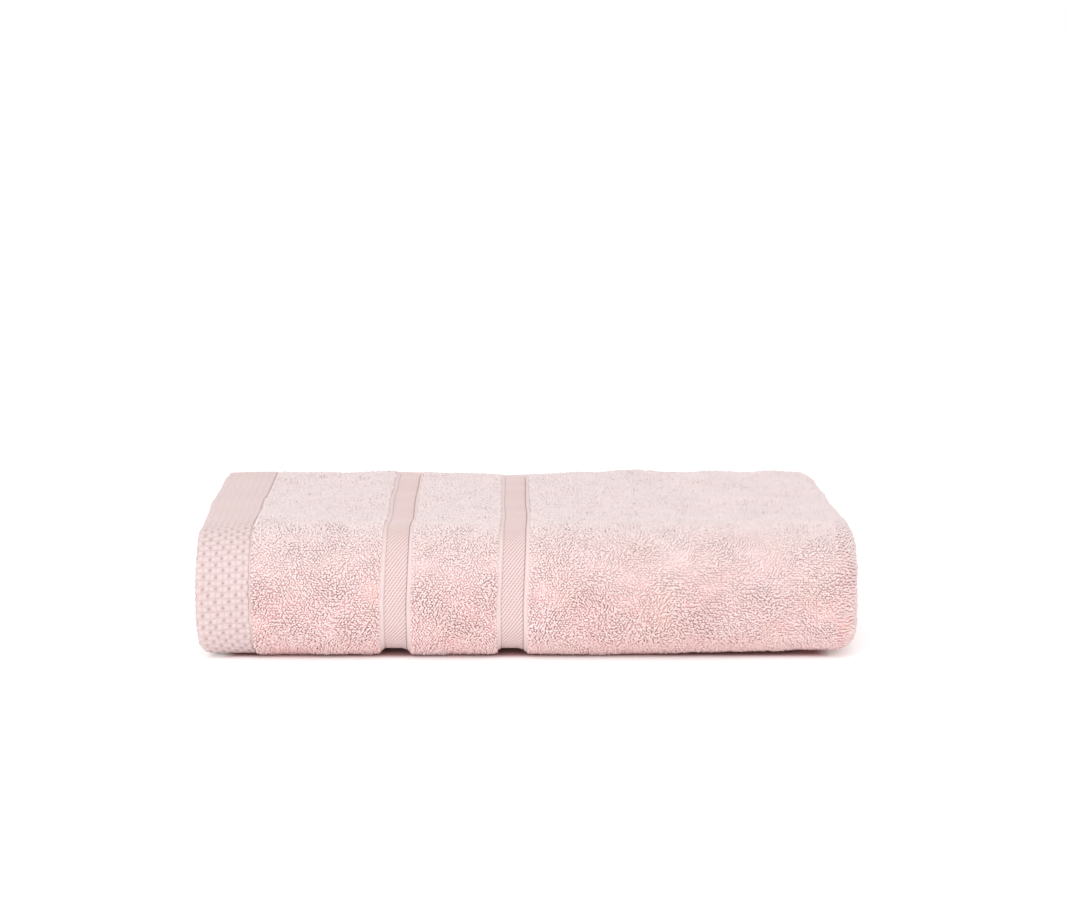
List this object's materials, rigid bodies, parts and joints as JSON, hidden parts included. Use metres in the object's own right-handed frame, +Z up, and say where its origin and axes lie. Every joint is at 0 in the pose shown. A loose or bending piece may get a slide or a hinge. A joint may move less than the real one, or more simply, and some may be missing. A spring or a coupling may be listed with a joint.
{
  "type": "bath towel",
  "caption": "Folded terry bath towel with a basket-weave end hem and two twill border bands; it lies flat with its rounded main fold to the front.",
  "frame": {"origin": "centre of the folded towel's underside, on the surface it lies on", "axes": "+Z up; -Y towards the rounded main fold, which is the front; +X along the front, from the end with the woven hem to the folded end"},
  "size_m": [0.353, 0.2438, 0.07],
  "materials": {
    "terry_pile": "matte",
    "hem_basket_weave": "matte",
    "hem_sewn_strip": "matte",
    "border_twill": "matte",
    "border_rib": "matte",
    "side_hem_plain_weave": "matte",
    "sewing_thread": "matte"
  },
  "bodies": {
    "root": {"leaf_a_end_hem": "hem_basket_weave", "leaf_a_end_hem_thread": "sewing_thread", "leaf_a_sewn_strip": "hem_sewn_strip", "leaf_a_terry_border": "terry_pile", "leaf_a_first_band_left_rib": "border_rib", "leaf_a_first_band_twill": "border_twill", "leaf_a_first_band_right_rib": "border_rib", "leaf_a_terry_between_bands": "terry_pile", "leaf_a_second_band_left_rib": "border_rib", "leaf_a_second_band_twill": "border_twill", "leaf_a_second_band_right_rib": "border_rib", "leaf_a_terry_field": "terry_pile", "leaf_b_end_hem": "hem_basket_weave", "leaf_b_end_hem_thread": "sewing_thread", "leaf_b_sewn_strip": "hem_sewn_strip", "leaf_b_terry_border": "terry_pile", "leaf_b_first_band_left_rib": "border_rib", "leaf_b_first_band_twill": "border_twill", "leaf_b_first_band_right_rib": "border_rib", "leaf_b_terry_between_bands": "terry_pile", "leaf_b_second_band_left_rib": "border_rib", "leaf_b_second_band_twill": "border_twill", "leaf_b_second_band_right_rib": "border_rib", "leaf_b_terry_field": "terry_pile", "leaf_c_terry": "terry_pile", "leaf_d_terry": "terry_pile", "right_fold_a_to_d": "terry_pile", "right_fold_b_to_c": "terry_pile", "left_fold_c_to_d": "terry_pile", "side_hem_inner": "side_hem_plain_weave", "side_hem_outer": "side_hem_plain_weave", "side_hem_thread_inner": "sewing_thread", "side_hem_thread_outer": "sewing_thread"}
  },
  "joints": []
}
